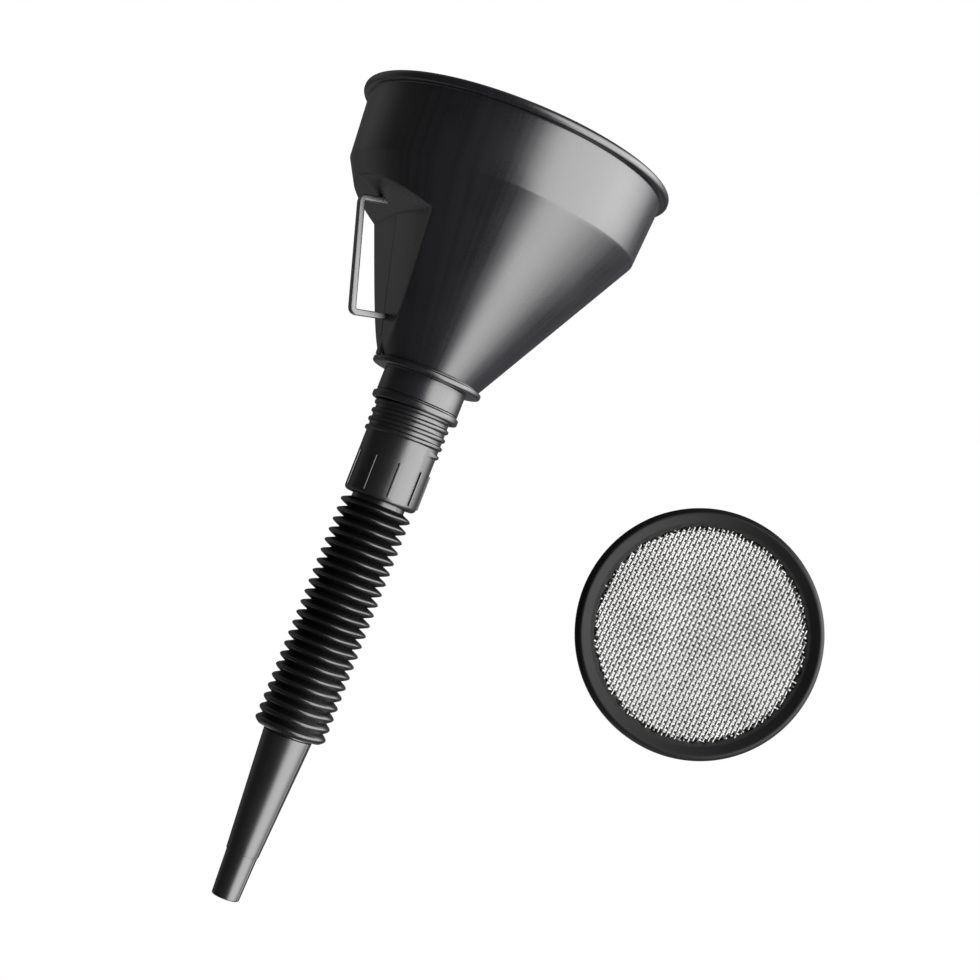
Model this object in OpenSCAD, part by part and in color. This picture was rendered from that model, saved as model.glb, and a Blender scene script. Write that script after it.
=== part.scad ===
// Pouring funnel with a handle in its side, a screwed-on bending spout and a loose strainer.
// +Z runs up the funnel's axis, the handle points to -X, and z = 0 is the underside of the flange.

/* [Bowl] */
// Outside diameter of the rolled rim
mouth_d = 160; // [145:1:200]
// Height of the mouth above the flange's underside
mouth_h = 126; // [115:1:160]
// Height of the crease between the cone and the upright wall
crease_h = 89; // [84:1:106]
// Outside diameter at the crease
crease_d = 148.4; // [136:0.2:150]
// Outside diameter of the cone where it meets the flange
cone_foot_d = 51.8; // [48:1:54]
// Thickness of the moulded wall
wall = 2; // [1.5:0.1:3]
// Overhang of the rim beyond the wall
rim_overhang = 3.4; // [2:0.1:5]
// Height of the rim's lip
rim_h = 4.6; // [3:0.1:7]

/* [Flange and neck] */
// Outside diameter of the flange
flange_d = 56; // [54:0.2:64]
// Thickness of the flange
flange_t = 3; // [2:0.1:4]
// Outside diameter of the neck
neck_d = 41.8; // [41:0.1:48]
// Length of the neck below the flange
neck_l = 16; // [13:0.5:20]
// Outside diameter of the bead at the neck's end
bead_d = 44.2; // [44:0.1:52]
// Height of the bead
bead_h = 3.2; // [2:0.1:4]

/* [Handle and recess] */
// Distance from the axis to the recess's back face, at the flange's underside
recess_foot = 26.1; // [24:0.1:27]
// Slope of the back face, outwards for each mm of height
recess_slope = 0.264; // [0.22:0.002:0.32]
// Height of the edge between the back face and the recess's roof
roof_h = 69; // [60:1:72]
// Slope of the recess's roof, in degrees, rising outwards
roof_angle = 22; // [15:1:35]
// Angle by which each half of the back face turns away from the middle ridge
ridge_angle = 3.5; // [1:0.5:8]
// Height of the handle's outer top corner
handle_top = 70.4; // [62:0.2:72]
// Height of the handle's outer bottom corner
handle_foot = 15; // [14:0.2:24]
// Distance from the axis to the handle's outer top corner
handle_reach_top = 65.2; // [58:0.2:68]
// Distance from the axis to the handle's outer bottom corner
handle_reach_foot = 48.2; // [44:0.2:52]
// Width of the handle's strip
handle_w = 4.8; // [3:0.2:12]
// Thickness of the handle's strip
handle_t = 3; // [2:0.1:4]

/* [Coupling] */
// Outside diameter over the thread's crests
thread_d = 39.2; // [38:0.1:39.6]
// Depth of the thread
thread_depth = 1.2; // [0.8:0.1:1.4]
// Pitch of the thread
thread_pitch = 4.4; // [3.6:0.1:5]
// Number of turns of the thread
thread_turns = 7; // [6:1:8]
// Outside diameter of the grip below the thread
grip_d = 36.8; // [35:0.1:38]
// Length of the grip, shoulder included
grip_l = 27.6; // [24:0.2:34]
// Number of raised ribs round the grip
rib_n = 9; // [6:1:12]
// Direction of the first rib round the axis, from +X
rib_phase = 23; // [0:1:40]
// Length of a rib
rib_l = 17.4; // [12:0.2:20]
// Width of a rib
rib_w = 1.6; // [1:0.1:2.5]
// Height of a rib over the grip
rib_h = 0.8; // [0.4:0.1:1]
// Wall of the coupling
coupling_wall = 2.2; // [1.8:0.1:2.6]

/* [Hose] */
// Number of folds in the hose
fold_n = 22; // [14:1:24]
// Distance from one fold to the next
fold_pitch = 5.36; // [4.6:0.02:6.6]
// Outside diameter over the folds
fold_d = 36; // [32:0.2:38]
// Outside diameter in the valleys between the folds
valley_d = 27; // [26:0.2:29]
// How much shallower the lowest fold is than the upper half's folds
valley_rise = 2; // [0:0.1:2.4]
// Wall of the hose
hose_wall = 1; // [0.8:0.1:1.2]
// Free gap between two folds, which the bending closes
fold_gap = 1.3; // [1.1:0.1:1.6]

/* [Nozzle] */
// Outside diameter at the top of the nozzle
nozzle_top_d = 24.6; // [23:0.1:26]
// Outside diameter at the step
nozzle_step_d = 16.4; // [14:0.1:19]
// Outside diameter at the tip
tip_d = 13.8; // [12:0.1:16]
// Length of the tapered part, from the hose to the step
taper_l = 60; // [48:0.5:72]
// Length of the tip section
tip_l = 22.6; // [21:0.2:30]
// Height of the step between the two sections
step_h = 0.35; // [0.2:0.05:0.5]
// Bore of the tip
outlet_d = 10.6; // [9:0.1:11]

/* [Strainer] */
// Outside diameter of the strainer's ring
strainer_d = 124; // [104:1:130]
// Width of the ring, seen flat on
ring_w = 11; // [8:0.5:16]
// Depth of the dished ring
ring_h = 6; // [4:0.5:10]
// Thickness of the ring
ring_t = 1.6; // [1.2:0.1:2.5]
// Width of the seat round the ring's inner edge, on which the mesh lies
mesh_grip = 2.5; // [1.5:0.5:4]
// Thickness of the woven mesh
mesh_t = 1; // [0.8:0.1:1.4]
// Distance of the loose strainer's middle from the funnel's axis
strainer_away = 170.5; // [155:0.5:205]
// Height of the loose strainer's middle
strainer_z = -67; // [-90:1:-50]
// Direction in which the strainer faces, round the axis from -Y
strainer_turn = -17; // [-40:1:-10]

/* [Hidden] */
ring_names = [for (i = [1:fold_n]) str("hose_fold_", i < 10 ? "0" : "", i)];
$fn = 96;

// Running gaps between pieces that move on each other
play = 0.3;
seat_gap = 0.2;
fold_clear = 2.8;
// Overlap that keeps cuts and joined shapes from sharing a face
eps = 0.02;

mouth_r = mouth_d / 2;
crease_r = crease_d / 2;
cone_foot_r = cone_foot_d / 2;
wall_top_r = mouth_r - rim_overhang;
cone_rise = crease_h - flange_t;
cone_angle = atan((crease_r - cone_foot_r) / cone_rise);
cone_wall = wall / cos(cone_angle);

// The throat's ledge stops the coupling's top
throat_r = thread_d / 2 - coupling_wall - thread_depth;
ledge_z = -1;
neck_bore_r = thread_d / 2 + play;

// Coupling: thread from the ledge down, then the grip and its rounded shoulder
coupling_top = ledge_z - seat_gap;
thread_runout = 3.4;
thread_l = thread_turns * thread_pitch + thread_runout;
grip_top = coupling_top - thread_l;
coupling_foot = grip_top - grip_l;
thread_root_r = thread_d / 2 - thread_depth;
shoulder_r = 5;
grip_r = grip_d / 2;
coupling_bore_r = thread_root_r - coupling_wall;
mouth_ledge = 3;

// Hose: a plain cuff inside the coupling, then the folds
valley_r = valley_d / 2;
cuff_r = coupling_bore_r - play;
fold_half = (fold_pitch - fold_gap) / 2;
first_fold = coupling_foot - fold_half - fold_clear;
last_fold = first_fold - (fold_n - 1) * fold_pitch;
hose_foot = last_fold - fold_half;
coupling_mouth_r = valley_r + play;
nozzle_top = hose_foot - fold_gap;
step_z = nozzle_top - taper_l;
tip_z = step_z - tip_l;

function valley_at(i) = valley_r + valley_rise * max(0, 2 * i / (fold_n - 1) - 1);
function back_x(z) = recess_foot + recess_slope * z;
function cone_r(z) = cone_foot_r + (crease_r - cone_foot_r) * (z - flange_t) / cone_rise;
roof_x = back_x(roof_h);
far = 3 * mouth_r;

// Outline of the bowl, moved inwards by t across its wall
module bowl_outline(t, foot, top) {
    slant = t / cos(cone_angle);
    polygon([
        [0, foot],
        [cone_r(foot) - slant, foot],
        [crease_r - t, crease_h],
        [wall_top_r - t, top],
        [0, top],
    ]);
}

// Space of the recess: everything outside its back face and under its roof
module recess_space(t) {
    back = t / cos(atan(recess_slope));
    roof = t / cos(roof_angle);
    roof_end = crease_r + 40;
    for (side = [-1, 1])
        rotate([0, 0, side * ridge_angle])
            translate([0, mouth_d / 2, 0]) rotate([90, 0, 0])
                linear_extrude(mouth_d)
                    polygon([
                        [-back_x(0) + back, -eps + flange_t],
                        [-roof_x + back, roof_h + roof],
                        [-roof_end, roof_h + roof + (roof_end - roof_x) * tan(roof_angle)],
                        [-far, roof_h],
                        [-far, flange_t - eps],
                    ]);
}

// Narrow spine at the foot of the recess, which stands out of the cone
module recess_spine() {
    spine_w = 6;
    spine_h = 13;
    spine_out = 1.8;
    translate([0, spine_w / 2, 0]) rotate([90, 0, 0])
        linear_extrude(spine_w)
            polygon([
                [-cone_foot_r - spine_out, flange_t - eps],
                [-back_x(spine_h), spine_h],
                [-back_x(spine_h) + wall, spine_h],
                [-cone_foot_r + wall, flange_t - eps],
            ]);
}

// Lip round the mouth, with a rounded outer edge
module rim_lip() {
    corner_flat = 0.2;
    edge = rim_h / 2 - corner_flat;
    rotate_extrude($fn = 180)
        union() {
            translate([wall_top_r - wall, mouth_h - rim_h])
                square([rim_overhang + wall - edge, rim_h]);
            translate([mouth_r - edge, mouth_h - rim_h / 2]) circle(r = edge, $fn = 32);
        }
}

module flange_plate() {
    edge = flange_t / 2;
    rotate_extrude()
        union() {
            square([flange_d / 2 - edge, flange_t]);
            translate([flange_d / 2 - edge, edge]) circle(r = edge, $fn = 32);
        }
}

module neck_outside() {
    bead_edge = bead_h / 2;
    translate([0, 0, -neck_l]) cylinder(d = neck_d, h = neck_l + eps);
    rotate_extrude()
        union() {
            translate([0, -neck_l]) square([bead_d / 2 - bead_edge, bead_h]);
            translate([bead_d / 2 - bead_edge, -neck_l + bead_edge]) circle(r = bead_edge, $fn = 32);
        }
}

module bowl() {
    color([0.09, 0.09, 0.1])
    difference() {
        union() {
            difference() {
                union() {
                    rotate_extrude($fn = 180) bowl_outline(0, flange_t, mouth_h);
                    rim_lip();
                }
                recess_space(0);
            }
            recess_spine();
            flange_plate();
            neck_outside();
        }
        // Inside of the bowl, less the recess and its wall
        difference() {
            rotate_extrude($fn = 180) bowl_outline(wall, flange_t, mouth_h + 1);
            recess_space(wall);
        }
        // Throat through the flange, and the neck's bore below its ledge
        translate([0, 0, ledge_z - eps]) cylinder(r = throat_r, h = flange_t - ledge_z + 1);
        translate([0, 0, -neck_l - 1]) cylinder(r = neck_bore_r, h = neck_l + 1 + ledge_z);
    }
}

// Outline of the handle's loop in the XZ plane, moved inwards by t. Its two bars stand square to the back face.
module handle_outline(t, corner) {
    reach = 30;
    offset(r = corner) offset(delta = -corner - t)
        polygon([
            [-handle_reach_foot + reach, handle_foot + recess_slope * reach],
            [-handle_reach_foot, handle_foot],
            [-handle_reach_top, handle_top],
            [-handle_reach_top + reach, handle_top + recess_slope * reach],
        ]);
}

// The handle is moulded on, so its ends run a little way into the recess's wall
module handle() {
    root_depth = 0.4;
    corner_out = 4;
    corner_in = 2;
    color([0.12, 0.12, 0.13])
    intersection() {
        translate([0, handle_w / 2, 0]) rotate([90, 0, 0])
            linear_extrude(handle_w)
                difference() {
                    handle_outline(0, corner_out);
                    handle_outline(handle_t, corner_in);
                }
        recess_space(root_depth);
    }
}

// One turn of the thread, as a ridge round the coupling
module thread_ridge(z) {
    half = thread_pitch * 0.3;
    crest = half * 0.35;
    bury = 1;
    rotate_extrude()
        polygon([
            [thread_root_r - bury, z - half],
            [thread_root_r, z - half],
            [thread_d / 2, z - crest],
            [thread_d / 2, z + crest],
            [thread_root_r, z + half],
            [thread_root_r - bury, z + half],
        ]);
}

module coupling() {
    first_ridge = 2.6;
    rib_bury = 1;
    rib_foot = coupling_foot + shoulder_r - 2.6;
    color([0.1, 0.1, 0.11])
    difference() {
        union() {
            translate([0, 0, grip_top]) cylinder(r = thread_root_r, h = thread_l);
            for (turn = [0:thread_turns - 1])
                thread_ridge(coupling_top - first_ridge - turn * thread_pitch);
            rotate_extrude()
                union() {
                    translate([0, coupling_foot + shoulder_r]) square([grip_r, grip_l - shoulder_r]);
                    translate([0, coupling_foot]) square([grip_r - shoulder_r, grip_l]);
                    translate([grip_r - shoulder_r, coupling_foot + shoulder_r])
                        circle(r = shoulder_r, $fn = 48);
                }
            for (rib = [0:rib_n - 1])
                rotate([0, 0, rib_phase + rib * 360 / rib_n])
                    translate([grip_r - rib_bury, -rib_w / 2, rib_foot])
                        cube([rib_bury + rib_h, rib_w, rib_l]);
        }
        // Bore for the hose's cuff, and the smaller mouth that holds the cuff's lip
        translate([0, 0, coupling_foot + mouth_ledge]) cylinder(r = coupling_bore_r, h = thread_l + grip_l);
        translate([0, 0, coupling_foot - 1]) cylinder(r = coupling_mouth_r, h = mouth_ledge + 2);
    }
}

module hose_cuff() {
    lip_h = 16;
    lip_z = coupling_foot + mouth_ledge + seat_gap;
    neck_foot = first_fold + fold_half + fold_gap;
    color([0.06, 0.06, 0.065])
    difference() {
        union() {
            translate([0, 0, lip_z]) cylinder(r = cuff_r, h = lip_h);
            translate([0, 0, neck_foot]) cylinder(r = valley_r, h = lip_z - neck_foot + 1);
        }
        translate([0, 0, neck_foot - 1]) cylinder(r = valley_r - hose_wall, h = lip_z - neck_foot + lip_h + 2);
    }
}

// One fold of the hose: a V of even wall, rounded at its crest
module hose_fold(i) {
    z = first_fold - i * fold_pitch;
    crest = fold_d / 2;
    valley = valley_at(i);
    tip = 0.8;
    color([0.05, 0.05, 0.055])
    translate([0, 0, z])
        rotate_extrude($fn = 72)
            difference() {
                union() {
                    polygon([
                        [valley - hose_wall, -fold_half],
                        [valley, -fold_half],
                        [crest - tip, -tip],
                        [crest - tip, tip],
                        [valley, fold_half],
                        [valley - hose_wall, fold_half],
                    ]);
                    translate([crest - tip, 0]) circle(r = tip, $fn = 24);
                }
                polygon([
                    [valley - hose_wall - 1, -fold_half + hose_wall * 0.9],
                    [crest - tip - hose_wall, 0],
                    [valley - hose_wall - 1, fold_half - hose_wall * 0.9],
                ]);
            }
}

module nozzle() {
    wall_top = 1.6;
    land = 20;
    color([0.1, 0.1, 0.11])
    difference() {
        rotate_extrude()
            polygon([
                [0, tip_z],
                [tip_d / 2, tip_z],
                [nozzle_step_d / 2 - step_h, step_z],
                [nozzle_step_d / 2, step_z],
                [nozzle_top_d / 2, nozzle_top],
                [0, nozzle_top],
            ]);
        translate([0, 0, tip_z - 1]) cylinder(d = outlet_d, h = land + 1);
        translate([0, 0, tip_z + land - eps])
            cylinder(d1 = outlet_d, d2 = nozzle_top_d - 2 * wall_top, h = nozzle_top - tip_z - land + 2 * eps);
    }
}

// Stands the strainer where it lies beside the funnel, with its dished side towards the viewer
module strainer_place() {
    rotate([0, 0, strainer_turn])
        translate([strainer_away, 0, strainer_z])
            rotate([90, 0, 0])
                children();
}

// Heights in the ring, counted from its back edge
function ring_face_z() = ring_h * 0.62;
function ring_seat_z() = ring_face_z() - 0.9;

// Dished ring with a shallow seat round its inner edge
module strainer_ring() {
    outer = strainer_d / 2;
    inner = outer - ring_w;
    seat_r = inner + mesh_grip;
    shoulder = 2;
    seat_floor = 1.4;
    color([0.07, 0.07, 0.08])
    strainer_place()
        rotate_extrude($fn = 120)
            polygon([
                [outer - ring_t, 0],
                [outer, 0],
                [outer, ring_h * 0.5],
                [outer - shoulder, ring_h],
                [seat_r, ring_face_z()],
                [seat_r, ring_seat_z()],
                [inner, ring_seat_z()],
                [inner, ring_seat_z() - seat_floor],
                [seat_r, ring_seat_z() - seat_floor],
                [outer - shoulder - ring_t, ring_h - ring_t],
            ]);
}

// The mesh is pressed a little way into its seat
module strainer_mesh() {
    press = 0.1;
    mesh_r = strainer_d / 2 - ring_w + mesh_grip - seat_gap;
    color([0.75, 0.75, 0.74])
    strainer_place()
        translate([0, 0, ring_seat_z() - press]) cylinder(r = mesh_r, h = mesh_t);
}

bowl();
handle();
coupling();
hose_cuff();
for (i = [0:fold_n - 1]) hose_fold(i);
nozzle();
strainer_ring();
strainer_mesh();
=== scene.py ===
import math

import bmesh
import bpy
import numpy as np
from mathutils import Matrix, Vector


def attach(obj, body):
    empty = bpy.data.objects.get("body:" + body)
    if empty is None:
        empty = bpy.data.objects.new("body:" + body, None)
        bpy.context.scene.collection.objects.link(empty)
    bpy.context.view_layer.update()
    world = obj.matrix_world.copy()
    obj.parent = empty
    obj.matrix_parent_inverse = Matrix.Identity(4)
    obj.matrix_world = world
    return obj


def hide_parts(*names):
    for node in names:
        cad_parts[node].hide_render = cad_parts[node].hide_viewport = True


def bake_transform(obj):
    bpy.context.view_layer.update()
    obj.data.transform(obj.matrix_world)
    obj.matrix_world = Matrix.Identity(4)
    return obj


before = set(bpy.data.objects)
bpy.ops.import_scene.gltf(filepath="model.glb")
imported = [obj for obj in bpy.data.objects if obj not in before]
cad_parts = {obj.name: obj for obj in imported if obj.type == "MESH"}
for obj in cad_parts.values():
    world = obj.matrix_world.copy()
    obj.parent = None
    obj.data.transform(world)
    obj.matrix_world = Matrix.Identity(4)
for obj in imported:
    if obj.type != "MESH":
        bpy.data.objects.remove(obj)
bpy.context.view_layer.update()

MM = 0.001
TAU = 2 * math.pi

# ---------------------------------------------------------------- sizes
WALL = 2.0
MOUTH_Z, CREASE_Z, FLANGE_T = 126.0, 89.0, 3.0
MOUTH_R, WALL_TOP_R, CREASE_R, CONE_FOOT_R = 80.0, 76.6, 74.2, 25.9
CONE_SLOPE = (CREASE_R - CONE_FOOT_R) / (CREASE_Z - FLANGE_T)
CONE_WALL = WALL / math.cos(math.atan(CONE_SLOPE))
FLANGE_R, NECK_R, BEAD_R, NECK_BORE_R, THROAT_R = 28.0, 20.9, 22.1, 19.9, 16.2
NECK_Z, LEDGE_Z = -16.0, -1.0
BEAD_TOP = NECK_Z + 3.2

BACK_FOOT, BACK_SLOPE = 26.1, 0.264
ROOF_Z, ROOF_ANGLE, RIDGE_ANGLE = 69.0, math.radians(22), math.radians(3.5)
ROOF_R = BACK_FOOT + BACK_SLOPE * ROOF_Z
RECESS_SPREAD = 57  # degrees each side of the handle that hold the recess and its edges
SPINE_STAND, SPINE_SLOPE, SPINE_HALF_W = 1.5, 0.11, 2.5
PARTING_H, PARTING_W = 0.3, 0.45

HANDLE_TOP, HANDLE_FOOT = 70.4, 15.0
HANDLE_REACH_TOP, HANDLE_REACH_FOOT = 65.2, 48.2
HANDLE_W, HANDLE_T, HANDLE_CORNER_R = 4.8, 3.0, 2.6
INTO_BACK, INTO_ROOF = 0.8, 1.6

THREAD_R, THREAD_ROOT_R, THREAD_PITCH = 19.6, 18.4, 4.4
THREAD_HALF_W, THREAD_FLANK, THREAD_END = 1.45, 0.95, math.radians(-60)
COUPLING_TOP, GRIP_TOP, COUPLING_FOOT = -1.2, -35.4, -63.0
GRIP_R, SHOULDER_R, COUPLING_BORE_R, COUPLING_MOUTH_R = 18.4, 5.0, 16.2, 13.8
COUPLING_FLOOR = COUPLING_FOOT + 3
RIB_N, RIB_PHASE, RIB_L, RIB_W, RIB_H = 9, 23.0, 17.4, 1.6, 0.8

FOLD_N, FOLD_PITCH, FIRST_FOLD = 22, 5.36, -67.83
FOLD_R, VALLEY_R, VALLEY_RISE, HOSE_WALL = 18.0, 13.5, 2.0, 1.0
CREST_POWER, HOSE_AROUND = 0.55, 72
HOSE_START = COUPLING_FOOT + 1.5
LAST_FOLD = FIRST_FOLD - (FOLD_N - 1) * FOLD_PITCH

NOZZLE_TOP, STEP_Z, TIP_Z = -183.72, -243.72, -266.32
NOZZLE_TOP_R, STEP_R, TIP_R, OUTLET_R, STEP_H = 12.3, 8.2, 6.9, 5.3, 0.35
NOZZLE_WALL, BORE_END = 1.6, TIP_Z + 20
SEAM_H, SEAM_WIDTH = 0.13, math.radians(1.3)

RING_R, RING_W, RING_H, SEAT_W = 62.0, 11.0, 6.0, 2.5
RING_FACE = RING_H * 0.62
MESH_Z = RING_FACE - 0.5
WIRE_PITCH, WIRE_R, WIRE_N, WEAVE_R = 2.2, 0.60, 47, 52.4
FACING = math.radians(-17)
STRAINER_PLACE = (
    Matrix.Rotation(FACING, 4, "Z")
    @ Matrix.Translation(Vector((170.5, 0, -67)) * MM)
    @ Matrix.Rotation(math.radians(90), 4, "X")
)

FOCAL_PX, PICTURE_PX = 1703, 980
CAMERA_STAND, CAMERA_AIM = (0, -830.1, -93.9), (3.83, -21.04, -3.35)


# ---------------------------------------------------------------- node trees
class Val:
    """A value inside a node tree. Python's operators on it add the Math nodes."""

    def __init__(self, tree, socket):
        self.tree, self.socket = tree, socket

    def math(self, operation, *others):
        return self.tree.add("ShaderNodeMath", {"operation": operation}, [self, *others])

    def __add__(self, other):
        return self.math("ADD", other)

    __radd__ = __add__

    def __mul__(self, other):
        return self.math("MULTIPLY", other)

    def __sub__(self, other):
        return self.math("SUBTRACT", other)

    def __rsub__(self, other):
        return self.tree.add("ShaderNodeMath", {"operation": "SUBTRACT"}, [other, self])

    def __truediv__(self, other):
        return self.math("DIVIDE", other)

    def __neg__(self):
        return self * -1


class Tree:
    """Adds nodes to one node tree: settings first, then the values or links of the inputs."""

    def __init__(self, nodes):
        self.nodes = nodes

    def add(self, kind, settings=None, inputs=(), out=0):
        node = self.nodes.nodes.new(kind)
        for key, value in (settings or {}).items():
            setattr(node, key, value)
        for key, value in inputs.items() if isinstance(inputs, dict) else enumerate(inputs):
            if isinstance(value, Val):
                self.nodes.links.new(value.socket, node.inputs[key])
            elif value is not None:
                node.inputs[key].default_value = value
        return Val(self, node.outputs[out]) if node.outputs else node

    def also(self, value, out):
        """Another output of the node that gave this value."""
        return Val(self, value.socket.node.outputs[out])

    def split(self, vector):
        first = self.add("ShaderNodeSeparateXYZ", None, [vector])
        return first, self.also(first, 1), self.also(first, 2)

    def join(self, x, y, z):
        return self.add("ShaderNodeCombineXYZ", None, [x, y, z])

    def noise(self, vector, scale, detail=2.0, roughness=0.5):
        wanted = {"Vector": vector, "Scale": scale, "Detail": detail, "Roughness": roughness}
        return self.add("ShaderNodeTexNoise", {"noise_dimensions": "3D"}, wanted)

    def smooth(self, value, low, high, to_low=0.0, to_high=1.0):
        """Goes smoothly from to_low to to_high as the value goes from low to high."""
        return self.add("ShaderNodeMapRange", {"interpolation_type": "SMOOTHSTEP", "clamp": True},
                        [value, low, high, to_low, to_high])

    def between(self, share, low, high):
        """A colour between two others."""
        mix = self.add("ShaderNodeMix", {"data_type": "RGBA"}, out=2)
        node = mix.socket.node
        self.nodes.links.new(share.socket, node.inputs[0])
        node.inputs[6].default_value = (*low, 1)
        node.inputs[7].default_value = (*high, 1)
        return mix


class GeometryTree(Tree):
    """A Geometry Nodes tree with named inputs, which makes plain meshes."""

    def __init__(self, name, sizes):
        self.group = bpy.data.node_groups.new(name, "GeometryNodeTree")
        super().__init__(self.group)
        self.names = {}
        for label, kind in sizes.items():
            made = self.group.interface.new_socket(label, in_out="INPUT", socket_type="NodeSocket" + kind)
            self.names[label] = made.identifier
        self.names["Finish"] = self.group.interface.new_socket(
            "Finish", in_out="INPUT", socket_type="NodeSocketMaterial").identifier
        self.group.interface.new_socket("Geometry", in_out="OUTPUT", socket_type="NodeSocketGeometry")
        self.inside = self.group.nodes.new("NodeGroupInput")

    def size(self, label):
        return Val(self, self.inside.outputs[label])

    def end(self, geometry):
        """Realize Instances and Set Material, then the tree's output."""
        real = self.add("GeometryNodeRealizeInstances", None, [geometry])
        done = self.add("GeometryNodeSetMaterial", None, {"Geometry": real, "Material": self.size("Finish")})
        out = self.group.nodes.new("NodeGroupOutput")
        self.group.links.new(done.socket, out.inputs[0])

    def make(self, name, finish, **sizes):
        """Runs the tree with these sizes and keeps the result as a plain mesh."""
        holder = bpy.data.objects.new(name, bpy.data.meshes.new(name))
        bpy.context.scene.collection.objects.link(holder)
        modifier = holder.modifiers.new("maker", "NODES")
        modifier.node_group = self.group
        for label, value in {**sizes, "Finish": finish}.items():
            modifier[self.names[label.replace("_", " ")]] = value
        graph = bpy.context.evaluated_depsgraph_get()
        mesh = bpy.data.meshes.new_from_object(holder.evaluated_get(graph))
        holder.modifiers.remove(modifier)
        holder.data = mesh
        mesh.name = name
        return holder


# ---------------------------------------------------------------- finishes
def finish_of(name):
    """A new material: its tree, its Principled node, and the place on the piece."""
    made = bpy.data.materials.new(name)
    made.use_nodes = True
    tree = Tree(made.node_tree)
    shader = made.node_tree.nodes["Principled BSDF"]
    place = tree.add("ShaderNodeTexCoord", out="Object")
    return made, tree, shader, place


def feed(tree, shader, label, value):
    tree.nodes.links.new(value.socket, shader.inputs[label])


def around_axis(tree, place, fine, along):
    """A place that runs in fine steps round the funnel's axis and slowly along it."""
    x, y, z = tree.split(place)
    reach = (x * x + y * y).math("SQRT").math("MAXIMUM", 0.001)
    return tree.join(x / reach * fine, y / reach * fine, z * along)


def black_plastic(name, roughness, shade, grain, streak, lift=1.0, gloss=0.5):
    """Moulded black plastic: flow streaks along the piece, a fine grain, and slightly cloudy gloss."""
    made, tree, shader, place = finish_of(name)
    flow = tree.noise(around_axis(tree, place, 26.0, 5.0), 1.0, 4.0, 0.6)
    cloud = tree.noise(place, 38.0, 3.0)
    skin = tree.noise(place, grain, 3.0, 0.65)
    tone = flow * 0.6 + cloud * 0.4
    feed(tree, shader, "Base Color", tree.between(
        tree.smooth(tone, 0.35, 0.65), [c * 0.75 for c in shade], [c * 1.35 for c in shade]))
    feed(tree, shader, "Roughness",
         roughness + (flow - 0.5) * streak + (cloud - 0.5) * 0.08 + (skin - 0.5) * 0.05)
    height = flow * 0.5 + skin * 0.35 * lift
    bump = tree.add("ShaderNodeBump", None, {"Strength": 0.35, "Distance": 0.00006, "Height": height})
    feed(tree, shader, "Normal", bump)
    shader.inputs["IOR"].default_value = 1.52
    shader.inputs["Specular IOR Level"].default_value = gloss
    return made


def drawn_wire(name):
    """Bright drawn steel wire, a little dull and spotted."""
    made, tree, shader, place = finish_of(name)
    spots = tree.noise(place, 420.0, 3.0, 0.6)
    patch = tree.noise(place, 45.0, 2.0)
    tone = tree.smooth(spots * 0.6 + patch * 0.4, 0.36, 0.62)
    feed(tree, shader, "Base Color", tree.between(tone, (0.125, 0.124, 0.121), (0.22, 0.218, 0.213)))
    feed(tree, shader, "Roughness", 0.30 + spots * 0.25)
    bump = tree.add("ShaderNodeBump", None, {"Strength": 0.3, "Distance": 0.00005, "Height": spots})
    feed(tree, shader, "Normal", bump)
    shader.inputs["Metallic"].default_value = 1.0
    return made


BOWL_BLACK = black_plastic("bowl_black", 0.29, (0.0034, 0.0034, 0.0044), 900.0, 0.10)
GRIP_BLACK = black_plastic("grip_black", 0.31, (0.0032, 0.0032, 0.0037), 1100.0, 0.08)
HANDLE_BLACK = black_plastic("handle_black", 0.36, (0.0090, 0.0090, 0.0098), 1300.0, 0.06, 2.4, 0.75)
HOSE_BLACK = black_plastic("hose_black", 0.27, (0.0016, 0.0016, 0.0018), 1400.0, 0.05, 1.3, 0.45)
RING_BLACK = black_plastic("ring_black", 0.48, (0.0034, 0.0034, 0.0034), 700.0, 0.05, 1.4, 0.09)
STEEL = drawn_wire("drawn_steel")


# ---------------------------------------------------------------- mesh tools
def mesh_piece(name, points, faces, finish, sharp=38.0):
    """An object at the origin from points in millimetres, smooth except across sharp edges."""
    mesh = bpy.data.meshes.new(name)
    mesh.from_pydata((np.asarray(points) * MM).tolist(), [], faces)
    mesh.materials.append(finish)
    return smoothed(link(name, mesh), sharp)


def link(name, mesh):
    piece = bpy.data.objects.new(name, mesh)
    bpy.context.scene.collection.objects.link(piece)
    return piece


def smoothed(piece, sharp):
    mesh = piece.data
    mesh.polygons.foreach_set("use_smooth", np.ones(len(mesh.polygons), bool))
    mesh.set_sharp_from_angle(angle=math.radians(sharp))
    mesh.update()
    return piece


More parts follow.
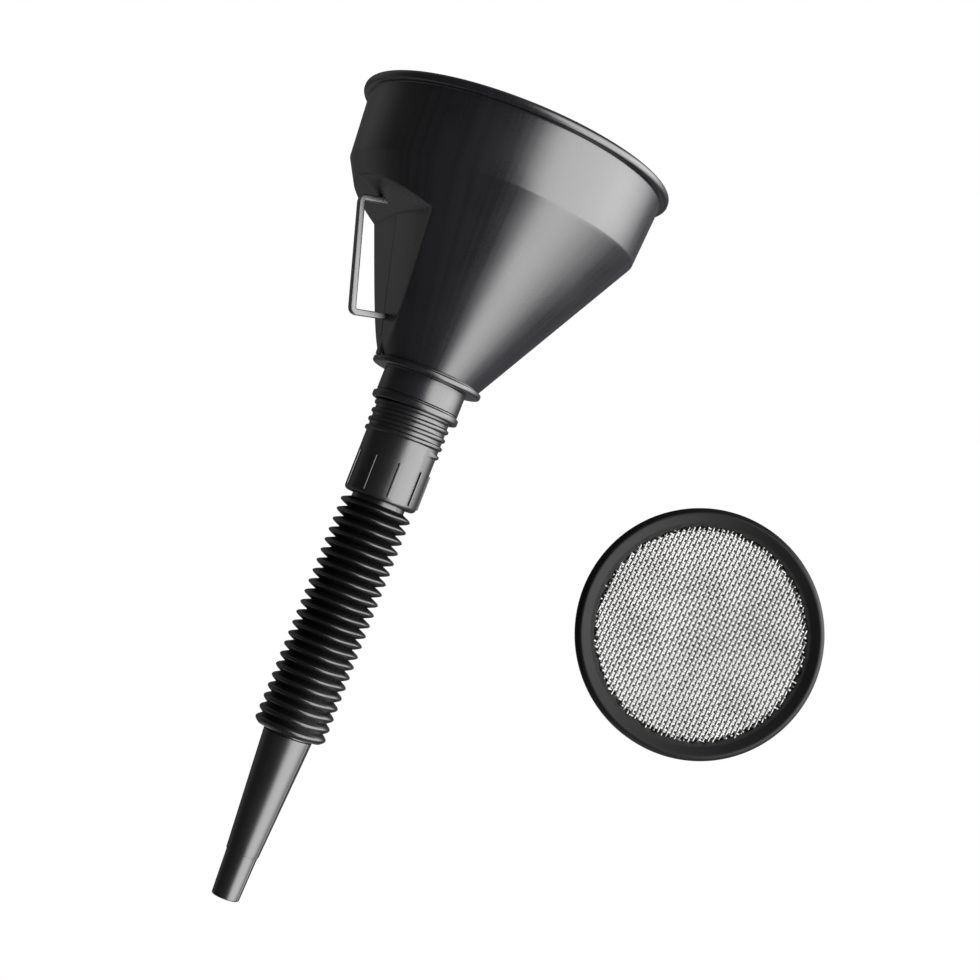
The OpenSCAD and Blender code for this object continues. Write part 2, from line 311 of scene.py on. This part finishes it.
def profile(corners):
    """A closed line through (radius, height, rounding, step) corners.

    Each corner is rounded, and the run after it is cut into steps.
    """
    points = [np.array(c[:2], float) for c in corners]
    n = len(points)
    line = []
    for i, (_, _, rounding, step) in enumerate(corners):
        here, before, after = points[i], points[i - 1], points[(i + 1) % n]
        u, v = before - here, after - here
        lu, lv = np.linalg.norm(u), np.linalg.norm(v)
        u, v = u / lu, v / lv
        half = math.acos(max(-1, min(1, float(u @ v)))) / 2
        if rounding and half < math.radians(89):
            back = min(rounding / math.tan(half), lu * 0.49, lv * 0.49)
            radius = back * math.tan(half)
            centre = here + (u + v) / np.linalg.norm(u + v) * radius / math.sin(half)
            a, b = here + u * back - centre, here + v * back - centre
            turn = math.pi - 2 * half
            count = max(2, int(turn / math.radians(13)) + 1)
            arc = [(a * math.sin(turn * (1 - t)) + b * math.sin(turn * t)) / math.sin(turn) + centre
                   for t in np.linspace(0, 1, count + 1)]
        else:
            arc = [here]
        line.append((arc, step))
    rows = []
    for i, (arc, step) in enumerate(line):
        rows.extend(arc)
        following = line[(i + 1) % n][0][0]
        cuts = int(np.linalg.norm(following - arc[-1]) / step) if step else 0
        rows.extend(arc[-1] + (following - arc[-1]) * t for t in np.linspace(0, 1, cuts + 2)[1:-1])
    return np.array(rows)


def turned(name, radius, height, angles, finish, sharp=38.0):
    """A closed ring-shaped skin: row i, column j is at radius[i, j], angles[j], height[i, j]."""
    rows, columns = radius.shape
    x, y = radius * np.cos(angles), radius * np.sin(angles)
    points = np.stack([x, y, height], axis=-1).reshape(-1, 3)
    i, j = np.meshgrid(np.arange(rows), np.arange(columns), indexing="ij")
    up, right = (i + 1) % rows, (j + 1) % columns
    quads = np.stack([i * columns + j, i * columns + right, up * columns + right, up * columns + j], axis=-1)
    return mesh_piece(name, points, quads.reshape(-1, 4).tolist(), finish, sharp)


def smooth_min(a, b, soft):
    h = np.clip(0.5 + 0.5 * (b - a) / soft, 0, 1)
    return b * (1 - h) + a * h - soft * h * (1 - h)


def smooth_max(a, b, soft):
    return -smooth_min(-a, -b, soft)


def ease(x):
    x = np.clip(x, 0, 1)
    return x * x * (3 - 2 * x)


# ---------------------------------------------------------------- bowl
def recess_radius(turn, z, inset):
    """How far out the recess's faces stand, at an angle from the handle's side and a height."""
    back = BACK_FOOT + BACK_SLOPE * z - inset / math.cos(math.atan(BACK_SLOPE))
    roof = ROOF_R + (z - ROOF_Z - inset / math.cos(ROOF_ANGLE)) / math.tan(ROOF_ANGLE)
    aim = np.cos(np.abs(turn) - RIDGE_ANGLE)
    face = smooth_max(back, roof, 0.7)
    return np.where(aim > 0.25, face / np.maximum(aim, 0.25), 400.0)


def bowl_shell():
    """The bowl, from the neck's foot up the outside and down the inside, with the recess cut in.

    The cone's rows are closest together between the recess's foot and its roof.
    """
    cone_dense = [(CONE_FOOT_R + CONE_SLOPE * (z - FLANGE_T), z, 0, step)
                  for z, step in ((4.2, 0.66), (66.5, 0.30), (80.5, 1.8))]
    inner_cone = [(CONE_FOOT_R - CONE_WALL + CONE_SLOPE * (z - FLANGE_T), z, 0, step)
                  for z, step in ((82.5, 0.9), (68.5, 2.2))]
    corners = [
        (NECK_BORE_R, NECK_Z, 0.4, 0),
        (BEAD_R, NECK_Z, 1.5, 0),
        (BEAD_R, BEAD_TOP, 1.3, 0),
        (NECK_R, NECK_Z + 3.5, 0.3, 0),
        (NECK_R, NECK_Z + 4.0, 0, 0),
        (NECK_R - 0.35, NECK_Z + 4.3, 0, 0),
        (NECK_R, NECK_Z + 4.6, 0.1, 4),
        (NECK_R, 0, 0.7, 0),
        (FLANGE_R, 0, 1.3, 0),
        (FLANGE_R, FLANGE_T, 1.2, 0),
        (CONE_FOOT_R, FLANGE_T, 0.5, 0),
        *cone_dense,
        (CREASE_R, CREASE_Z, 2.2, 8),
        (WALL_TOP_R, 121.2, 0.8, 0),
        (MOUTH_R, 121.5, 2.0, 0),
        (MOUTH_R, MOUTH_Z, 2.2, 0),
        (WALL_TOP_R - WALL, MOUTH_Z, 0.7, 9),
        (CREASE_R - WALL, CREASE_Z, 2.0, 0),
        *inner_cone,
        (CONE_FOOT_R - CONE_WALL, FLANGE_T, 0.8, 0),
        (THROAT_R, FLANGE_T, 0.6, 0),
        (THROAT_R, LEDGE_Z, 0, 0),
        (NECK_BORE_R, LEDGE_Z, 0, 8),
    ]
    line = profile(corners)
    dense = np.radians(np.linspace(-RECESS_SPREAD, RECESS_SPREAD, 192))
    sparse = np.radians(np.linspace(RECESS_SPREAD, 360 - RECESS_SPREAD, 84)[1:-1])
    turn = np.concatenate([dense, sparse])
    turn = (turn + math.pi) % TAU - math.pi
    z = line[:, 1:2]
    radius = np.repeat(line[:, :1], len(turn), 1)
    on_cone = (z > FLANGE_T - 0.01) & (z < CREASE_Z + 1)
    plain_in = np.where(z < CREASE_Z, CONE_FOOT_R - CONE_WALL + CONE_SLOPE * (z - FLANGE_T), 1e3)
    inside = on_cone & (line[:, :1] < plain_in + 0.6)
    outside = on_cone & ~inside & (line[:, :1] > CONE_FOOT_R - 0.6)
    side = radius * np.sin(turn)
    cut = smooth_min(radius, recess_radius(turn, z, 0), 0.7)
    spine = (BACK_FOOT + SPINE_STAND + SPINE_SLOPE * z
             - np.maximum(np.abs(side) - SPINE_HALF_W, 0) ** 2 * 3)
    parting = PARTING_H * np.exp(-(side / PARTING_W) ** 2)
    cut = np.where(cut < radius - PARTING_H, cut + parting, cut)
    spine_r = np.minimum(spine, 40) / np.maximum(np.cos(turn), 0.2)
    cut = np.where(np.abs(turn) < 0.6, smooth_max(cut, spine_r, 0.5), cut)
    radius = np.where(outside, cut, radius)
    radius = np.where(inside, smooth_min(radius, recess_radius(turn, z, WALL), 1.2), radius)
    return turned("bowl_shell", radius, np.repeat(z, len(turn), 1), turn + math.pi, BOWL_BLACK, 50.0)


# ---------------------------------------------------------------- handle
def strip(name, path, width, thick, rounding, finish):
    """A rounded flat strip along a path in the XZ plane, closed at both ends."""
    path = np.array(path, float)
    ahead = np.gradient(path, axis=0)
    ahead /= np.linalg.norm(ahead, axis=1)[:, None]
    aside = np.stack([-ahead[:, 1], ahead[:, 0]], axis=-1)
    section = []
    for corner, (sx, sy) in enumerate(((1, 1), (-1, 1), (-1, -1), (1, -1))):
        for step in np.linspace(0, math.pi / 2, 5):
            angle = corner * math.pi / 2 + step
            section.append((sx * (thick / 2 - rounding) + rounding * math.cos(angle),
                            sy * (width / 2 - rounding) + rounding * math.sin(angle)))
    section = np.array(section)
    n, m = len(path), len(section)
    flat = path[:, None, :] + aside[:, None, :] * section[None, :, :1]
    points = np.stack([flat[..., 0], np.repeat(section[None, :, 1], n, 0), flat[..., 1]], -1).reshape(-1, 3)
    faces = [(i * m + j, i * m + (j + 1) % m, (i + 1) * m + (j + 1) % m, (i + 1) * m + j)
             for i in range(n - 1) for j in range(m)]
    faces += [tuple(range(m))[::-1], tuple((n - 1) * m + j for j in range(m))]
    piece = mesh_piece(name, points, faces, finish, 40.0)
    outward(piece)
    return piece


def outward(piece):
    """Turns every face of a closed mesh outwards."""
    work = bmesh.new()
    work.from_mesh(piece.data)
    bmesh.ops.recalc_face_normals(work, faces=work.faces)
    work.to_mesh(piece.data)
    work.free()


def rounded_path(points, radius, step):
    """An open line with rounded corners, cut into even steps."""
    line = [np.array(points[0], float)]
    for before, here, after in zip(points, points[1:], points[2:]):
        before, here, after = (np.array(p, float) for p in (before, here, after))
        u, v = before - here, after - here
        u, v = u / np.linalg.norm(u), v / np.linalg.norm(v)
        half = math.acos(float(u @ v)) / 2
        back = radius / math.tan(half)
        for t in np.linspace(0, 1, 9):
            line.append((1 - t) ** 2 * (here + u * back) + 2 * t * (1 - t) * here + t * t * (here + v * back))
    line.append(np.array(points[-1], float))
    rows = [line[0]]
    for a, b in zip(line, line[1:]):
        cuts = max(1, int(np.linalg.norm(b - a) / step))
        rows.extend(a + (b - a) * t for t in np.linspace(0, 1, cuts + 1)[1:])
    return rows


def handle_loop():
    """Two bars square to the recess's back face, joined by a grip.

    The upper bar ends in the recess's roof, and the lower one in its back.
    """
    half = HANDLE_T / 2
    foot = np.array([-HANDLE_REACH_FOOT, HANDLE_FOOT])
    top = np.array([-HANDLE_REACH_TOP, HANDLE_TOP])
    inward = np.array([1.0, BACK_SLOPE]) / math.hypot(1, BACK_SLOPE)
    upward = (top - foot) / np.linalg.norm(top - foot)
    apart = abs(inward[0] * upward[1] - inward[1] * upward[0])
    foot = foot + (inward + upward) * half / apart
    top = top + (inward - upward) * half / apart
    back_rate = 1 + BACK_SLOPE * inward[1] / inward[0]
    foot_run = (-foot[0] - BACK_FOOT - BACK_SLOPE * foot[1]) / back_rate / inward[0] + INTO_BACK
    roof_over = ROOF_Z + (-top[0] - ROOF_R) * math.tan(ROOF_ANGLE) - top[1]
    top_run = roof_over / (inward[1] + inward[0] * math.tan(ROOF_ANGLE)) + INTO_ROOF
    corners = [foot + inward * foot_run, foot, top, top + inward * top_run]
    path = rounded_path(corners, HANDLE_CORNER_R, 1.5)
    return strip("handle_loop", path, HANDLE_W, HANDLE_T, 0.55, HANDLE_BLACK)


# ---------------------------------------------------------------- coupling
def coupling_body():
    """The collar with its thread, a ridge that climbs one pitch a turn and runs in from nothing."""
    corners = [
        (COUPLING_MOUTH_R, COUPLING_FOOT, 0.5, 0),
        (GRIP_R, COUPLING_FOOT, SHOULDER_R, 4),
        (GRIP_R, GRIP_TOP, 0, 0.22),
        (GRIP_R, COUPLING_TOP, 0.7, 0),
        (COUPLING_BORE_R, COUPLING_TOP, 0.3, 12),
        (COUPLING_BORE_R, COUPLING_FLOOR, 0, 0),
        (COUPLING_MOUTH_R, COUPLING_FLOOR, 0, 0),
    ]
    line = profile(corners)
    angles = np.linspace(0, TAU, 120, endpoint=False)
    z = np.repeat(line[:, 1:], len(angles), 1)
    radius = np.repeat(line[:, :1], len(angles), 1)
    lowest = GRIP_TOP + 1.6
    share = ((angles - THREAD_END) / TAU) % 1
    turn_no = np.round((z - lowest) / THREAD_PITCH - share)
    along = turn_no + share
    off = np.abs(z - lowest - THREAD_PITCH * along)
    ridge = ease((THREAD_HALF_W - off) / THREAD_FLANK) * ease(along / 0.10)
    ridge = ridge * ease((COUPLING_TOP - 0.8 - z) / 1.2)
    ridge = np.where((along >= 0) & (radius > GRIP_R - 0.01), ridge, 0)
    return turned("coupling_body", radius + ridge * (THREAD_R - THREAD_ROOT_R), z, angles, GRIP_BLACK, 60.0)


def ribs_tree():
    """Straight ribs round a grip: a rounded bar, placed on a circle."""
    tree = GeometryTree("grip_ribs", {"Count": "Int", "Radius": "Float", "Length": "Float", "Width": "Float",
                                      "Height": "Float", "Buried": "Float", "Rounding": "Float",
                                      "Turn": "Float", "Foot": "Float"})
    size = tree.size
    bar = tree.add("GeometryNodeCurvePrimitiveLine", {"mode": "POINTS"},
                   {"Start": (0, 0, 0), "End": tree.join(0.0, 0.0, size("Length"))})
    outline = tree.add("GeometryNodeCurvePrimitiveQuadrilateral", None,
                       {"Width": size("Width"), "Height": (size("Height") + size("Buried")) * 2})
    outline = tree.add("GeometryNodeFilletCurve", {"mode": "POLY"},
                       {"Curve": outline, "Radius": size("Rounding"), "Count": 3})
    solid = tree.add("GeometryNodeCurveToMesh", None,
                     {"Curve": bar, "Profile Curve": outline, "Fill Caps": True})
    circle = tree.add("GeometryNodeMeshCircle", {"fill_type": "NONE"},
                      {"Vertices": size("Count"), "Radius": size("Radius") - size("Buried")})
    circle = tree.add("GeometryNodeTransform", None, {
        "Geometry": circle, "Rotation": tree.join(0.0, 0.0, size("Turn")),
        "Translation": tree.join(0.0, 0.0, size("Foot"))})
    place = tree.add("GeometryNodeInputPosition")
    x, y, _ = tree.split(place)
    facing = tree.add("FunctionNodeAlignRotationToVector", {"axis": "Y"}, {"Vector": tree.join(x, y, 0.0)})
    tree.end(tree.add("GeometryNodeInstanceOnPoints", None,
                      {"Points": circle, "Instance": solid, "Rotation": facing}))
    return tree


# ---------------------------------------------------------------- hose
def wave(share):
    """1 at a crest and 0 in a valley, with a broad crest and a narrow valley."""
    return np.maximum(0.5 + 0.5 * np.cos(TAU * share), 0) ** CREST_POWER


def fold_tree():
    """One bend of the hose's wall, from a crest to the next: a closed outline, swept round a circle."""
    tree = GeometryTree("hose_bend", {"Crest Z": "Float", "Pitch": "Float", "Crest Radius": "Float",
                                      "Valley Radius": "Float", "Wall": "Float", "Rows": "Int",
                                      "Around": "Int", "Power": "Float"})
    size = tree.size
    middle = (size("Crest Radius") + size("Valley Radius")) * 0.5
    index = tree.add("GeometryNodeInputIndex") + 0.0
    rows = size("Rows") + 0.0
    inner = index.math("GREATER_THAN", rows - 0.5)
    down = index / (rows - 1.0)
    back = (rows * 2.0 - 1.0 - index) / (rows - 1.0)
    share = down * (1.0 - inner) + back * inner
    shape = ((share * TAU).math("COSINE") * 0.5 + 0.5).math("MAXIMUM", 0.0).math("POWER", size("Power"))
    depth = size("Crest Radius") - size("Valley Radius")
    radius = size("Valley Radius") + depth * shape - size("Wall") * inner
    height = size("Crest Z") - size("Pitch") * share
    outline = tree.add("GeometryNodeCurvePrimitiveCircle", {"mode": "RADIUS"},
                       {"Resolution": size("Rows") * 2.0, "Radius": 0.001})
    outline = tree.add("GeometryNodeSetPosition", None,
                       {"Geometry": outline, "Position": tree.join(radius - middle, -height, 0.0)})
    circle = tree.add("GeometryNodeCurvePrimitiveCircle", {"mode": "RADIUS"},
                      {"Resolution": size("Around"), "Radius": middle})
    tree.end(tree.add("GeometryNodeCurveToMesh", None,
                      {"Curve": circle, "Profile Curve": outline, "Fill Caps": False}))
    return tree


def valley_at(fold):
    """The valley's radius beside a fold. The folds get shallower down the hose's lower half."""
    return VALLEY_R + VALLEY_RISE * max(0.0, 2 * fold / (FOLD_N - 1) - 1)


def hose_rows(crest_z, valley, start, stop, count, last):
    """Part of the bellows' outline between two shares of a fold, then what leads on from it."""
    shares = np.linspace(start, stop, count)
    outer = np.stack([valley + (FOLD_R - valley) * wave(shares), crest_z - FOLD_PITCH * shares], -1)
    return np.concatenate([outer, last]) if len(last) else outer


def bellows_end(name, outer, wall):
    """Closes an outline of the hose's outside with an inside at an even wall, and turns it."""
    inner = outer[::-1].copy()
    inner[:, 0] -= wall
    line = np.concatenate([outer, inner])[::-1]
    angles = np.linspace(0, TAU, HOSE_AROUND, endpoint=False)
    radius, z = np.repeat(line[:, :1], HOSE_AROUND, 1), np.repeat(line[:, 1:], HOSE_AROUND, 1)
    return turned(name, radius, z, angles, HOSE_BLACK, 50.0)


# ---------------------------------------------------------------- nozzle
def nozzle_body():
    """The tapered tip, with a faint seam down two opposite sides."""
    corners = [
        (OUTLET_R, TIP_Z, 0.5, 0),
        (TIP_R, TIP_Z, 0.9, 3),
        (STEP_R - STEP_H, STEP_Z, 0.12, 0),
        (STEP_R, STEP_Z, 0.15, 3),
        (NOZZLE_TOP_R, NOZZLE_TOP, 0.7, 0),
        (NOZZLE_TOP_R - NOZZLE_WALL, NOZZLE_TOP, 0, 8),
        (OUTLET_R, BORE_END, 0, 6),
    ]
    line = profile(corners)
    seams = np.radians([-45, 135])
    near = np.radians([-5, -3.2, -1.8, -0.9, 0, 0.9, 1.8, 3.2, 5])
    angles = np.radians(np.arange(0, 360, 3.6))
    plain = [a for a in angles
             if all(abs((a - s + math.pi) % TAU - math.pi) > math.radians(6) for s in seams)]
    angles = np.sort(np.concatenate([plain, (seams[:, None] + near).ravel() % TAU]))
    z = np.repeat(line[:, 1:], len(angles), 1)
    radius = np.repeat(line[:, :1], len(angles), 1)
    bore_slope = (NOZZLE_TOP_R - NOZZLE_WALL - OUTLET_R) / (NOZZLE_TOP - BORE_END)
    bore_r = OUTLET_R + np.maximum(z - BORE_END, 0) * bore_slope
    outside = (radius > bore_r + 0.5) & (z > TIP_Z + 0.6) & (z < NOZZLE_TOP - 0.4)
    seam = sum(np.exp(-(((angles - s + math.pi) % TAU - math.pi) / SEAM_WIDTH) ** 2) for s in seams)
    radius = radius + np.where(outside, SEAM_H * seam, 0)
    return turned("nozzle_body", radius, z, angles, GRIP_BLACK, 42.0)


# ---------------------------------------------------------------- strainer
def strainer_rim():
    """The dished ring. Its inner edge is uneven, where the plastic ran over the mesh."""
    inner, seat_r, outer = RING_R - RING_W, RING_R - RING_W + SEAT_W, RING_R
    corners = [
        (outer - 1.6, 0, 0.3, 0),
        (outer, 0, 0.4, 1),
        (outer, 3.2, 1.6, 1),
        (outer - 2.2, RING_H, 1.5, 1.2),
        (seat_r + 1.2, RING_FACE + 0.35, 0.6, 0.6),
        (seat_r - 0.6, RING_FACE + 0.05, 0.3, 0),
        (seat_r - 0.9, MESH_Z - 0.5, 0.2, 0),
        (inner, MESH_Z - 0.5, 0.3, 0),
        (inner, MESH_Z - 1.8, 0.3, 1),
        (seat_r, MESH_Z - 1.8, 0.5, 1.5),
        (outer - 3.6, RING_H - 1.6, 1.0, 1),
    ]
    line = profile(corners)
    count = 360
    angles = np.linspace(0, TAU, count, endpoint=False)
    random = np.random.default_rng(7)
    rough = sum(random.normal() * np.cos(k * angles + random.uniform(0, TAU)) / k ** 0.35
                for k in range(9, 75, 3))
    rough = rough / np.abs(rough).max()
    radius, z = np.repeat(line[:, :1], count, 1), np.repeat(line[:, 1:], count, 1)
    lip = ease((seat_r + 1.4 - radius) / 1.6) * (z > MESH_Z - 0.6) * (radius > inner + 0.6)
    radius = radius - lip * (0.35 + 0.75 * rough)
    z = z + lip * 0.10 * np.roll(rough, 5) * (z > RING_FACE - 0.4)
    piece = turned("strainer_rim", radius, z, angles, RING_BLACK, 45.0)
    piece.data.transform(STRAINER_PLACE)
    return piece


def weave_tree():
    """One set of the mesh's wires: side by side, waving over and under, cut off unevenly at the edge."""
    tree = GeometryTree("woven_wires", {"Count": "Int", "Spacing": "Float", "Disc Radius": "Float",
                                        "Wire Radius": "Float", "Rise": "Float", "Side": "Float",
                                        "Points": "Int", "Sides": "Int", "Turn": "Float", "Height": "Float",
                                        "Fray": "Float", "Wander": "Float", "Seed": "Int"})
    size = tree.size
    wires = tree.add("GeometryNodeMeshLine", {"mode": "OFFSET"}, {
        "Count": size("Count"),
        "Start Location": tree.join(0.0, (size("Count") - 1.0) * size("Spacing") * -0.5, 0.0),
        "Offset": tree.join(0.0, size("Spacing"), 0.0)})
    number = tree.add("GeometryNodeInputIndex")
    wires = tree.add("GeometryNodeStoreNamedAttribute", {"data_type": "INT", "domain": "POINT"},
                     {"Geometry": wires, "Name": "wire", "Value": number})
    line = tree.add("GeometryNodeCurvePrimitiveLine", {"mode": "POINTS"},
                    {"Start": (-1, 0, 0), "End": (1, 0, 0)})
    line = tree.add("GeometryNodeResampleCurve", {"mode": "COUNT"}, {"Curve": line, "Count": size("Points")})
    laid = tree.add("GeometryNodeInstanceOnPoints", None, {"Points": wires, "Instance": line})
    laid = tree.add("GeometryNodeRealizeInstances", None, [laid])
    wire = tree.add("GeometryNodeInputNamedAttribute", {"data_type": "INT"}, {"Name": "wire"})
    x, y, _ = tree.split(tree.add("GeometryNodeInputPosition"))

    def chance(low, high, seed, each):
        wanted = {"Min": low, "Max": high, "ID": each, "Seed": size("Seed") + float(seed)}
        # The node has one output for each kind of value, and the second is the plain number.
        node = tree.add("FunctionNodeRandomValue", {"data_type": "FLOAT"}, out=1)
        for socket in node.socket.node.inputs:
            if socket.name in wanted and socket.enabled:
                value = wanted[socket.name]
                if isinstance(value, Val):
                    tree.nodes.links.new(value.socket, socket)
                else:
                    socket.default_value = value
        return node

    reach = (size("Disc Radius") * size("Disc Radius") - y * y).math("MAXIMUM", 0.0).math("SQRT")
    right = x.math("GREATER_THAN", 0.0)
    fray = chance(-1.0, 1.0, 1, wire) * right + chance(-1.0, 1.0, 2, wire) * (1.0 - right)
    along = x * (reach + fray * size("Fray"))
    even = (wire + 0.0).math("MODULO", 2.0) * math.pi
    rise = (along / size("Spacing") * math.pi + even).math("COSINE") * size("Rise") * size("Side")
    waver = tree.add("ShaderNodeTexNoise", {"noise_dimensions": "3D"}, {
        "Vector": tree.join(along, y, size("Side") * 0.01), "Scale": 90.0, "Detail": 1.0})
    aside = y + (waver - 0.5) * size("Wander")
    last_point, curl_up = 0.985, 0.5 * MM
    ends = x.math("ABSOLUTE").math("GREATER_THAN", last_point)
    curl = ends * chance(-0.1, 1.0, 3, wire) * curl_up
    bent = tree.add("GeometryNodeSetPosition", None,
                    {"Geometry": laid, "Position": tree.join(along, aside, rise + curl)})
    section = tree.add("GeometryNodeCurvePrimitiveCircle", {"mode": "RADIUS"},
                       {"Resolution": size("Sides"), "Radius": size("Wire Radius")})
    solid = tree.add("GeometryNodeCurveToMesh", None,
                     {"Curve": bent, "Profile Curve": section, "Fill Caps": True})
    solid = tree.add("GeometryNodeTransform", None, {
        "Geometry": solid, "Rotation": tree.join(0.0, 0.0, size("Turn")),
        "Translation": tree.join(0.0, 0.0, size("Height"))})
    tree.end(solid)
    return tree


# ---------------------------------------------------------------- build the pieces
def keep(piece, body, slot, *nodes):
    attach(piece, body)
    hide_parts(*nodes)


keep(bowl_shell(), "bowl", "moulded_black", "bowl")
keep(handle_loop(), "bowl", "moulded_black", "handle")
keep(coupling_body(), "coupling", "moulded_black", "coupling")

ribs = ribs_tree().make(
    "coupling_ribs", GRIP_BLACK, Count=RIB_N, Radius=GRIP_R * MM, Length=RIB_L * MM, Width=RIB_W * MM,
    Height=RIB_H * MM, Buried=1.0 * MM, Rounding=0.3 * MM, Turn=math.radians(RIB_PHASE),
    Foot=(COUPLING_FOOT + SHOULDER_R - 2.6) * MM)
smoothed(ribs, 35.0)
outward(ribs)
keep(ribs, "coupling", "moulded_black")

# The hose's first length, from inside the coupling to the first crest, turns with the first fold.
neck_top = hose_rows(FIRST_FOLD + FOLD_PITCH, VALLEY_R, 0.5, 1.0, 11, [])
first_length = np.concatenate([[[VALLEY_R, HOSE_START]], neck_top])
first_length[:, 1] = np.minimum(first_length[:, 1], HOSE_START)
keep(bellows_end("hose_top", first_length, HOSE_WALL), "fold_01", "hose_black", "hose_fold_01")

# Each length runs from a crest to the next, between two folds.
folds = fold_tree()
for fold in range(1, FOLD_N):
    crest_z = FIRST_FOLD - (fold - 1) * FOLD_PITCH
    length = folds.make(
        f"hose_bend_{fold:02d}", HOSE_BLACK, Crest_Z=crest_z * MM, Pitch=FOLD_PITCH * MM,
        Crest_Radius=FOLD_R * MM, Valley_Radius=valley_at(fold - 0.5) * MM, Wall=HOSE_WALL * MM,
        Rows=19, Around=HOSE_AROUND, Power=CREST_POWER)
    smoothed(length, 50.0)
    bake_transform(length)
    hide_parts(f"hose_fold_{fold + 1:02d}")

# The last length runs from the last crest into the nozzle's top.
collar = [[NOZZLE_TOP_R + 0.5, NOZZLE_TOP + 0.9], [NOZZLE_TOP_R + 0.3, NOZZLE_TOP + 0.1]]
foot_rows = hose_rows(LAST_FOLD, valley_at(FOLD_N - 1), 0.0, 0.45, 11, collar)
last_length = bellows_end("hose_foot", foot_rows, HOSE_WALL)
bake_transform(last_length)

keep(nozzle_body(), "nozzle", "moulded_black", "nozzle")
keep(strainer_rim(), "strainer", "ring_black", "strainer_ring")

weave = weave_tree()
for label, turn, side in (("warp", -6.0, 1.0), ("weft", 84.0, -1.0)):
    wires = weave.make(
        f"strainer_{label}", STEEL, Count=WIRE_N, Spacing=WIRE_PITCH * MM, Disc_Radius=WEAVE_R * MM,
        Wire_Radius=WIRE_R * MM, Rise=0.36 * MM, Side=side, Points=150, Sides=6, Turn=math.radians(turn),
        Height=MESH_Z * MM, Fray=0.9 * MM, Wander=0.5 * MM, Seed=11 if side > 0 else 23)
    wires.data.transform(STRAINER_PLACE)
    smoothed(wires, 60.0)
    keep(wires, "strainer", "steel_wire", *(["strainer_mesh"] if side > 0 else []))

# The cuff is out of sight in the coupling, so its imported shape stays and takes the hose's finish.
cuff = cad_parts["hose_cuff"]
cuff.data.materials.clear()
cuff.data.materials.append(HOSE_BLACK)


# ---------------------------------------------------------------- floor, light and camera
def studio_floor():
    """A white sheet under the object, in metres. Only the camera sees it."""
    half, z = 4, -0.3
    mesh = bpy.data.meshes.new("floor")
    mesh.from_pydata([(-half, -half, z), (half, -half, z), (half, half, z), (-half, half, z)],
                     [], [(0, 1, 2, 3)])
    floor = link("floor", mesh)
    made = bpy.data.materials.new("pale_floor")
    made.use_nodes = True
    tree = Tree(made.node_tree)
    made.node_tree.nodes.remove(made.node_tree.nodes["Principled BSDF"])
    light = tree.add("ShaderNodeEmission", None, {"Color": (1, 1, 1, 1), "Strength": 1.0})
    made.node_tree.links.new(light.socket, made.node_tree.nodes["Material Output"].inputs["Surface"])
    mesh.materials.append(made)
    floor.visible_diffuse = floor.visible_glossy = floor.visible_shadow = False
    floor.visible_transmission = False


def studio_light(facing):
    """White wherever the camera looks. The object gets a tall soft light on the right and dim fill.

    around is the angle from behind the camera, positive to its right, and height the elevation.
    """
    world = bpy.data.worlds.new("studio")
    bpy.context.scene.world = world
    world.use_nodes = True
    tree = Tree(world.node_tree)
    nodes = world.node_tree.nodes
    way = tree.add("ShaderNodeTexCoord", out="Generated")
    x, y, z = tree.split(way)
    degrees = 180 / math.pi
    cos, sin = math.cos(facing), math.sin(facing)
    across, towards = x * cos + y * sin, x * sin - y * cos
    around = across.math("ARCTAN2", towards) * degrees
    height = z.math("ARCSINE") * degrees
    left_edge = 15.0 + (13.0 - height) * 0.34
    key = (tree.smooth(around - left_edge, -9.0, 9.0)
           * tree.smooth(around + (13.0 - height) * 0.6, 84.0, 140.0, 1.0, 0.0)
           * tree.smooth(height, -74.0, -52.0) * tree.smooth(height, 24.0, 52.0, 1.0, 0.0))
    from_behind = around.math("ABSOLUTE")
    behind = tree.smooth(from_behind, 150.0, 172.0) * tree.smooth(height, -42.0, -28.0, 1.0, 0.0)
    left = tree.smooth(around, -150.0, -128.0) * tree.smooth(around, -118.0, -96.0, 1.0, 0.0)
    top = tree.smooth(height, 62.0, 86.0)
    low = tree.smooth(height, -48.0, -32.0, 1.0, 0.0)
    level = 0.12 + key * 10.5 + behind * 3.0 + left * (0.18 + low * 0.30) + top * 0.6
    soft = tree.add("ShaderNodeBackground", None, {"Color": (1, 1, 1, 1), "Strength": level})
    white = tree.add("ShaderNodeBackground", None, {"Color": (1, 1, 1, 1), "Strength": 1.0})
    seen = tree.add("ShaderNodeLightPath", out="Is Camera Ray")
    mix = tree.add("ShaderNodeMixShader", None, [seen, soft, white])
    tree.nodes.links.new(mix.socket, nodes["World Output"].inputs["Surface"])


def studio_camera():
    """The camera. It leans, so that the funnel hangs askew in the picture."""
    turn = Matrix.Rotation(FACING, 4, "Z")
    pitch, roll, yaw = (math.radians(angle) for angle in CAMERA_AIM)
    aim = (Matrix.Rotation(yaw, 4, "Z") @ Matrix.Rotation(pitch, 4, "X")
           @ Matrix.Rotation(roll, 4, "Y"))
    lens = bpy.data.cameras.new("camera")
    lens.sensor_width = 36.0
    lens.lens = lens.sensor_width * FOCAL_PX / PICTURE_PX
    lens.clip_start, lens.clip_end = 0.01, 50
    camera = bpy.data.objects.new("camera", lens)
    bpy.context.scene.collection.objects.link(camera)
    stand = turn @ Matrix.Translation(Vector(CAMERA_STAND) * MM) @ aim
    camera.matrix_world = stand @ Matrix.Rotation(math.radians(90), 4, "X")
    bpy.context.scene.camera = camera


studio_floor()
studio_light(FACING)
studio_camera()
bpy.context.scene.view_settings.view_transform = "Standard"
